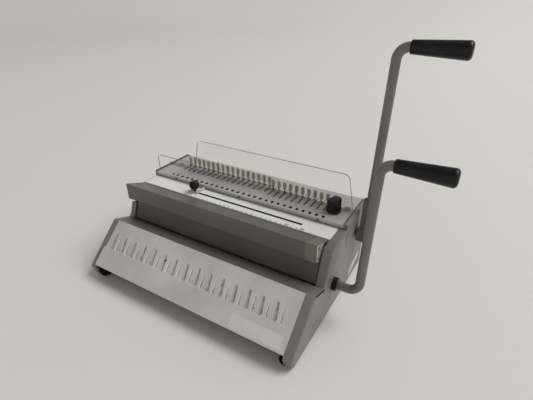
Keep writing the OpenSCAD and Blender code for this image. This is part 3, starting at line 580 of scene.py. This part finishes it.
def rounded(a0, b0, a1, b1, radius):
    """Outline of a rectangle with round corners."""
    points = []
    corners = [
        (a1 - radius, b1 - radius), (a0 + radius, b1 - radius),
        (a0 + radius, b0 + radius), (a1 - radius, b0 + radius),
    ]
    for quarter, (a, b) in enumerate(corners):
        for i in range(CORNER_STEPS + 1):
            angle = (quarter + i / CORNER_STEPS) * math.pi / 2
            points.append((a + radius * math.cos(angle), b + radius * math.sin(angle)))
    return points


def make_end_plate():
    """Bright plate and its two dark screws on the outer end of the closing beam."""
    thickness, edge = 1.4 * MM, 0.3 * MM
    profile = [
        (-20.8, 69.3), (-19.6, 70.5), (3.3, 70.5), (4.5, 69.3),
        (4.5, 42.2), (3.3, 41.0), (-9.0, 41.0), (-10.4, 42.0),
    ]
    screw_places = ((-16.5, 66.0), (-7.0, 46.5))
    screw_diameter, screw_height = 5.0, 1.3
    face = high("beam_end_block").x
    plate = bmesh.new()
    prism(plate, [on_closing(face, s, n) for s, n in profile], Vector((thickness, 0, 0)))
    piece = new_piece("beam_end_plate", plate, "closing_jaw", "aluminium")
    round_edges(piece, edge)
    screws = bmesh.new()
    for s, n in screw_places:
        centre = on_closing(face + thickness, s, n)
        screw_head(screws, centre, Vector((1, 0, 0)), screw_diameter, screw_height)
    new_piece("beam_end_screws", screws, "closing_jaw", "ink")


def make_plate_edge():
    """Folded lower and right edge of the beam's back plate, in the beam paint darkened as painted shade.
    """
    left_gap, right_gap, side_width = 4.5 * MM, 1.8 * MM, 2.7 * MM
    front, back, fold, top = 1.6, 2.8, 6.1, 39.5
    foot = [(front, 2.6), (front, fold), (back, fold), (back, 2.6), (2.4, 2.3), (2.0, 2.3)]
    side = [(front, fold), (front, top), (back, top), (back, fold)]
    start, end = low("front_panel").x + left_gap, high("front_panel").x - right_gap
    strip = bmesh.new()
    prism(strip, [on_closing(start, s, n) for s, n in foot], Vector((end - start, 0, 0)))
    prism(strip, [on_closing(end, s, n) for s, n in side], Vector((-side_width, 0, 0)))
    new_piece("back_plate_edge", strip, "closing_jaw", "plate_shade_paint")


def make_paddle_feet():
    """Moulded foot round the rear end of each steel strip."""
    overhang, edge, play = 0.25 * MM, 0.25 * MM, 0.3 * MM
    profile = [(0.2, 0.1), (0.2, 1.7), (-0.9, 2.2), (-4.4, 2.2), (-5.2, 1.2), (-5.2, 0.1)]
    base = high("punch_cover").z
    for name in SLIDES:
        strip = [v.co for v in NODES[name].data.vertices if abs(v.co.z - STRIP_TOP) < play]
        left = min(point.x for point in strip) - overhang
        width = max(point.x for point in strip) + overhang - left
        rear = high(name).y
        foot = bmesh.new()
        outline = [Vector((left, rear + y * MM, base + z * MM)) for y, z in profile]
        prism(foot, outline, Vector((width, 0, 0)))
        number = name.rsplit("_", 1)[1]
        piece = new_piece(f"paddle_foot_{number}", foot, f"slide_{number}", "paddle_plastic")
        round_edges(piece, edge)


def make_hole_shade_rings():
    """Thin black border round each square hole of the cover: painted shade that makes the dark of the
    holes wider.
    """
    hole, front, rear, half = 2.2, -3.2, 4.2, 2.6
    top = high("punch_cover").z
    rings = bmesh.new()
    for i in range(ROW_COUNT):
        x = ROW_START + i * ROW_PITCH
        bars = [
            (x - half, front, x + half, -hole), (x - half, hole, x + half, rear),
            (x - half, -hole, x - hole, hole), (x + hole, -hole, x + half, hole),
        ]
        for x0, y0, x1, y1 in bars:
            start, end = place(x0, y0, 0), place(x1, y1, 0)
            print_bar(rings, start.x, start.y, end.x, end.y, top)
    new_piece("hole_shade_borders", rings, "body", "painted_shade_black")


def make_rim_seals():
    """Dark bead along the inner edge of both cheeks, where the cover drops in."""
    front_gap, rear_gap, inner, outer = 4.5 * MM, 4 * MM, 0.2 * MM, 1.4 * MM
    # Share of the bead's width, and height in millimetres
    section = [(0, -0.1), (0, 0.25), (0.25, 0.5), (0.75, 0.5), (1, 0.25), (1, -0.1)]
    level = high("right_cheek").z
    front, rear = low("punch_cover").y + front_gap, high("right_cheek").y - rear_gap
    seals = bmesh.new()
    for edge, outward in ((low("punch_cover").x, -1), (high("punch_cover").x, 1)):
        reach = [edge + outward * (inner + share * (outer - inner)) for share, _ in section]
        outline = [Vector((x, front, level + z * MM)) for x, (_, z) in zip(reach, section)]
        prism(seals, outline, Vector((0, rear - front, 0)))
    new_piece("rim_seals", seals, "body", "rubber")


def make_seam():
    """Black strip over the groove in the outer side of the right cheek: painted shade in the joint."""
    depth, thickness = 0.9 * MM, 0.95 * MM
    # y and z of the frame in millimetres
    profile = [(43.6, 106), (44.5, 106), (44.9, 130), (46.4, 137), (45.5, 137.4), (44.0, 130.3)]
    inner = high("right_cheek").x - depth
    seam = bmesh.new()
    prism(seam, [Vector((inner, y * MM, z * MM)) for y, z in profile], Vector((thickness, 0, 0)))
    new_piece("side_seam", seam, "body", "painted_shade_black")


def make_screws():
    """Small screws in the cover's front lip."""
    places, level, diameter, height = (-156.5, 2.5, 164.5), 145.0, 5.5, 1.6
    lip = bmesh.new()
    for x in places:
        screw_head(lip, place(x, LIP_Y, level), Vector((0, -1, 0)), diameter, height)
    new_piece("lip_screws", lip, "body", "screw_blue")


def make_scale():
    """Plain ticks and two groups of bars printed along the front edge of the paper table."""
    tick_count, tick_pitch, first_tick, long_every = 26, 10, -98, 5
    tick_start, tick_long, tick_short, tick_width = 0.3, 4.6, 3.0, 1.0
    bar_groups, bar_pitch = (122.5, 151.5), 2.6
    bar_start, bar_long, bar_width = 1.4, 5.2, 1.3
    top = high("paper_table").z
    front = low("paper_table").y
    ticks = bmesh.new()

    def tick(x, start, length, width):
        x0 = MIDDLE_X + (x - width / 2) * MM
        y0 = front + start * MM
        print_bar(ticks, x0, y0, x0 + width * MM, y0 + length * MM, top)

    for i in range(tick_count):
        length = tick_short if i % long_every else tick_long
        tick(first_tick + tick_pitch * i, tick_start, length, tick_width)
    for x in bar_groups:
        for across in (-bar_pitch, 0, bar_pitch):
            tick(x + across, bar_start, bar_long, bar_width)
    new_piece("table_scale", ticks, "body", "ink")


def make_panel_label():
    """Bare sticker on the panel's lower zone."""
    left, right, upper, lower, corner, thickness = 105, 196, 69, 91, 1.5, 0.15
    sticker = bmesh.new()
    outline = [on_panel(x, u, STEP_H) for x, u in rounded(left, upper, right, lower, corner)]
    prism(sticker, outline, off_panel(thickness))
    new_piece("panel_label", sticker, "body", "label_white")


def make_side_label():
    """Torn rest of a bare paper label on the right side."""
    thickness = 0.12 * MM
    torn = [
        (30, 14), (30.5, 23), (31.5, 31), (44, 36.5), (58, 40), (70, 42.5), (81, 43.5),
        (81.5, 37), (80, 31), (66, 28.5), (52, 25), (40, 19),
    ]
    side = high("right_cheek").x
    rest = bmesh.new()
    outline = [Vector((side, place(0, y, 0).y, z * MM)) for y, z in torn]
    prism(rest, outline, Vector((thickness, 0, 0)))
    new_piece("side_label_rest", rest, "body", "torn_paper")


def make_print():
    """Faint printed lines on the punch cover, each from one end to the other."""
    half_width = 0.55 * MM
    strokes = [
        (-189, 8.6, -176, 9.0), (-168, 8.8, -152, 9.0), (-62, 8.6, -38, 9.0), (94, 9.0, 130, 9.2),
        (152, 9.0, 170, 9.4), (187, 9.5, 203, 9.0), (188.5, 3.6, 203, 4.4),
    ]
    top = high("punch_cover").z
    lines = bmesh.new()
    for x0, y0, x1, y1 in strokes:
        a, b = place(x0, y0, 0), place(x1, y1, 0)
        across = Vector((a.y - b.y, b.x - a.x, 0)).normalized() * half_width
        outline = [a - across, b - across, b + across, a + across]
        prism(lines, [Vector((p.x, p.y, top)) for p in outline], PRINT_RISE)
    new_piece("cover_print", lines, "body", "pink_ink")


def bead(shape, path, width, height):
    """Low round ridge along a path of panel points, each with its height."""
    steps, sunk = 6, 0.1
    rows = []
    for i, (x, u, h) in enumerate(path):
        x0, u0, _ = path[max(i - 1, 0)]
        x1, u1, _ = path[min(i + 1, len(path) - 1)]
        length = math.hypot(x1 - x0, u1 - u0)
        row = []
        for j in range(steps + 1):
            angle = math.pi * j / steps
            side = width / 2 * math.cos(angle) / length
            lift = h - sunk + (height + sunk) * math.sin(angle)
            row.append(shape.verts.new(on_panel(x + side * (u1 - u0), u - side * (x1 - x0), lift)))
        rows.append(row)
    count = steps + 1
    for first, second in zip(rows, rows[1:]):
        for j in range(count):
            k = (j + 1) % count
            shape.faces.new((first[j], first[k], second[k], second[j]))
    shape.faces.new(rows[0][::-1])
    shape.faces.new(rows[-1])


def make_pocket_rim_highlights():
    """Raised round rim along the left wall, the corner and the foot of each pocket, in a white lighter
    than the panel as a painted highlight.
    """
    out, width, height = 0.6, 1.3, 0.5
    climb, wall_steps, corner_steps = 17, 4, 6
    foot_run, last_run = 17.6, 11.0
    rims = bmesh.new()
    for k in range(RIB_COUNT):
        path = []
        for i in range(wall_steps + 1):
            rest = climb * (1 - i / wall_steps)
            path.append((pocket_wall(k, rest) - out, POCKET_BEND - rest))
        for i in range(1, corner_steps + 1):
            path.append(pocket_corner(k, POCKET_CORNER + out, i * math.pi / 2 / corner_steps))
        run = foot_run if k < RIB_COUNT - 1 else last_run
        path.append((pocket_wall(k, 0) + run, RIB_FOOT + out))
        bead(rims, [(x, u, rib_height(u)) for x, u in path], width, height)
    new_piece("pocket_rim_highlights", rims, "body", "highlight_white")


def make_rib_streaks():
    """Dark brown strip along the left edge of the ribs, a little longer on some than on others."""
    inset, sunk, upper_width, lower_width = 0.4, 0.04, 3.2, 2.2
    upper_step, lower_step = 0.5, 0.4
    brown_marks = bmesh.new()
    for k in range(RIB_COUNT):
        upper = RIB_START + upper_step * (1 + (k * 7) % 4)
        lower = STEP_U - lower_step * ((k * 5) % 3)
        near = [(rib_left(k, u) + inset, u) for u in (upper, lower)]
        wide = ((lower, lower_width), (upper, upper_width))
        far = [(rib_left(k, u) + inset + width, u) for u, width in wide]
        outline = [on_panel(x, u, rib_height(u) - sunk) for x, u in near + far]
        prism(brown_marks, outline, off_panel(WEAR_AND_SHADE_T))
    new_piece("rib_streaks", brown_marks, "body", "brown_streak")


def corner_ribbon(k):
    """Outline of the painted shade that lies along the left wall and round corner of a pocket."""
    climb, wall_steps, thin, wide = 20, 6, 0.35, 1.25
    corner_steps, corner_step, fading = 5, math.radians(14), 0.1
    outer, inner = [], []
    for i in range(wall_steps + 1):
        share = i / wall_steps
        rest = climb * (1 - share)
        x = pocket_wall(k, rest)
        outer.append((x, POCKET_BEND - rest))
        inner.append((x + thin + (wide - thin) * share, POCKET_BEND - rest))
    for i in range(1, corner_steps + 1):
        outer.append(pocket_corner(k, POCKET_CORNER, i * corner_step))
        inner.append(pocket_corner(k, POCKET_CORNER - wide + fading * i, i * corner_step))
    return outer + inner[::-1]


def make_pocket_corner_shade():
    """Painted shade in the left corner of each pocket."""
    sunk = 0.02
    corner_shading = bmesh.new()
    for k in range(RIB_COUNT):
        prism(corner_shading, [on_panel(x, u, -sunk) for x, u in corner_ribbon(k)], off_panel(WEAR_AND_SHADE_T))
    new_piece("pocket_corner_shade", corner_shading, "body", "corner_shade_grey")


def make_spots():
    """A few rubbed spots of uneven outline: middle, width, length, and 1 where it lies on a rib."""
    worn = [
        (-57.2, 36, 4.2, 5.0, 1), (66, 37, 3.0, 4.0, 0), (134, 49.5, 2.0, 2.0, 0),
        (83, 49, 1.4, 1.6, 0), (-113, 49.5, 2.0, 2.6, 0), (-88, 50, 1.8, 2.6, 0),
    ]
    steps, half, waves, ripple = 14, 0.5, 3, 0.09
    spots = bmesh.new()
    for x, u, across, along, on_rib in worn:
        outline = []
        for i in range(steps):
            angle = i * math.tau / steps
            swell = half + ripple * math.sin(waves * angle + x)
            down = u + along * swell * math.sin(angle)
            outline.append(on_panel(x + across * swell * math.cos(angle), down, on_rib * rib_height(down)))
        prism(spots, outline, off_panel(WEAR_AND_SHADE_T))
    new_piece("panel_spots", spots, "body", "spot_brown")


def make_leg_shade():
    """Black sheet on the inner face of the left leg: painted shade, seen under the panel."""
    thickness = 0.3 * MM
    profile = ((-198, 9), (-194, 6), (-150, 6), (-150, 60), (-196, 24))
    inner = low("front_panel").x
    shade_sheet = bmesh.new()
    outline = [Vector((inner, place(0, y, 0).y, z * MM)) for y, z in profile]
    prism(shade_sheet, outline, Vector((thickness, 0, 0)))
    new_piece("left_leg_shade", shade_sheet, "body", "painted_shade_black")


def make_stage():
    """Pale round floor that bends up into a low wall far from the machine."""
    reach, bend, top, steps, bend_steps = 8.0, 3.0, 4.5, 96, 16
    profile = [(reach - bend, 0.0)]
    for i in range(1, bend_steps + 1):
        angle = i * math.pi / 2 / bend_steps
        profile.append((reach - bend + bend * math.sin(angle), bend - bend * math.cos(angle)))
    profile.append((reach, top))
    points, faces = [(0, 0, 0)], []
    for radius, height in profile:
        for k in range(steps):
            angle = k * math.tau / steps
            points.append((radius * math.cos(angle), radius * math.sin(angle), height))
    for k in range(steps):
        following = (k + 1) % steps
        faces.append((0, 1 + k, 1 + following))
        for ring in range(len(profile) - 1):
            first, second = 1 + ring * steps, 1 + (ring + 1) * steps
            faces.append((first + k, second + k, second + following, first + following))
    floor_mesh = bpy.data.meshes.new("floor")
    floor_mesh.from_pydata(points, [], faces)
    floor_mesh.polygons.foreach_set("use_smooth", [True] * len(faces))
    floor_mesh.materials.append(principled("floor_white", (0.81, 0.785, 0.76), roughness=0.75))
    floor = bpy.data.objects.new("floor", floor_mesh)
    bpy.context.scene.collection.objects.link(floor)


def area_light(name, spot, target, size, power):
    """Round soft light that looks from its spot at a target."""
    data = bpy.data.lights.new(name, "AREA")
    data.shape = "DISK"
    data.size = size
    data.energy = power
    light = bpy.data.objects.new(name, data)
    light.location = spot
    light.rotation_euler = (Vector(target) - Vector(spot)).to_track_quat("-Z", "Y").to_euler()
    bpy.context.scene.collection.objects.link(light)


def make_lights():
    """Warm white surroundings, a large key light from behind on the right and a weak fill."""
    surroundings, strength = (1.0, 0.985, 0.965, 1.0), 0.235
    world = bpy.data.worlds.new("studio")
    world.use_nodes = True
    background = world.node_tree.nodes["Background"]
    background.inputs["Color"].default_value = surroundings
    background.inputs["Strength"].default_value = strength
    bpy.context.scene.world = world
    area_light("key", spot=(5.2, 3.6, 9.2), target=(0.1, -0.1, 0.1), size=6.6, power=700)
    area_light("front_fill", spot=(0.4, -2.2, 1.2), target=(0, 0, 0.15), size=1.6, power=0.8)


def make_camera():
    """Camera that was fitted to the photograph."""
    back = Vector((
        math.sin(CAMERA_AZIMUTH) * math.cos(CAMERA_ELEVATION),
        -math.cos(CAMERA_AZIMUTH) * math.cos(CAMERA_ELEVATION),
        math.sin(CAMERA_ELEVATION),
    ))
    level = Vector((0, 0, 1)).cross(back).normalized()
    upright = back.cross(level)
    right = math.cos(CAMERA_ROLL) * level + math.sin(CAMERA_ROLL) * upright
    up = back.cross(right)
    data = bpy.data.cameras.new("camera")
    data.sensor_width = SENSOR_WIDTH
    data.lens = FOCAL_PIXELS / PHOTO_WIDTH * SENSOR_WIDTH
    camera = bpy.data.objects.new("camera", data)
    turn = Matrix((right, up, back)).transposed()
    camera.matrix_world = Matrix.Translation(CAMERA_PLACE) @ turn.to_4x4()
    bpy.context.scene.collection.objects.link(camera)
    bpy.context.scene.camera = camera


make_camera()
make_stage()
make_lights()
dress_solids()
make_end_plate()
make_plate_edge()
make_paddle_feet()
make_hole_shade_rings()
make_rim_seals()
make_seam()
make_screws()
make_scale()
make_panel_label()
make_side_label()
make_print()
make_pocket_rim_highlights()
make_rib_streaks()
make_pocket_corner_shade()
make_spots()
make_leg_shade()
bpy.context.scene.view_settings.view_transform = "Standard"
